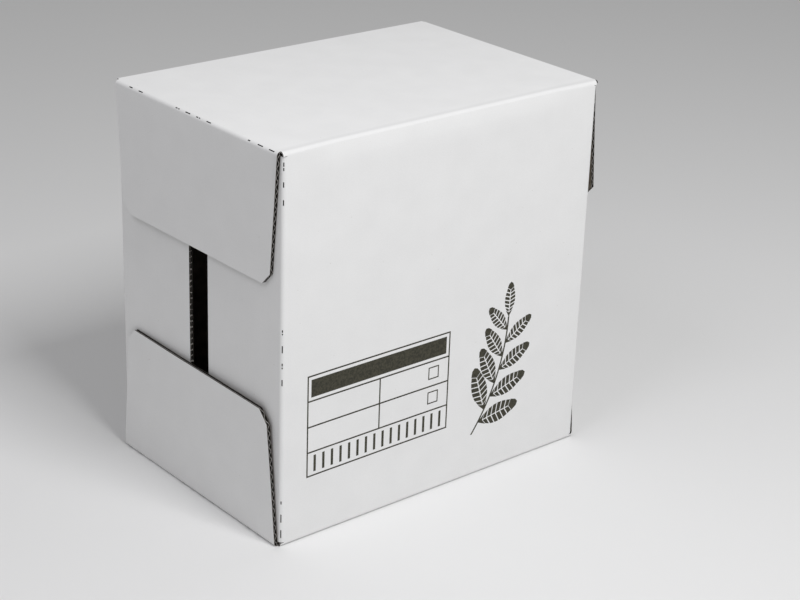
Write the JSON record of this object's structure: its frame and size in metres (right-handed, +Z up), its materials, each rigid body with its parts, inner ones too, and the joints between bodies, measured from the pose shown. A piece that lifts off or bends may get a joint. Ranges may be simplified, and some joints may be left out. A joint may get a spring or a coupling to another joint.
{
  "type": "corrugated bottle case",
  "caption": "Closed wrap-around case of white-lined corrugated board for bottles, with glued end flaps, perforated folds and a finger slot at each end.",
  "frame": {"origin": "centre of the bounding box, at the underside of the bottom panel", "axes": "+X to the right along the front panel, -Y out of the front panel, +Z up"},
  "size_m": [0.319, 0.208, 0.305],
  "materials": {
    "white_board": "white-topped liner outside, brown kraft inside and at the cut edges, matt",
    "hot_melt_glue": "pale amber, waxy"
  },
  "bodies": {
    "root": {"case_board": "white_board", "left_flap_glue": "hot_melt_glue", "right_flap_glue": "hot_melt_glue", "lap_glue": "hot_melt_glue"}
  },
  "joints": []
}
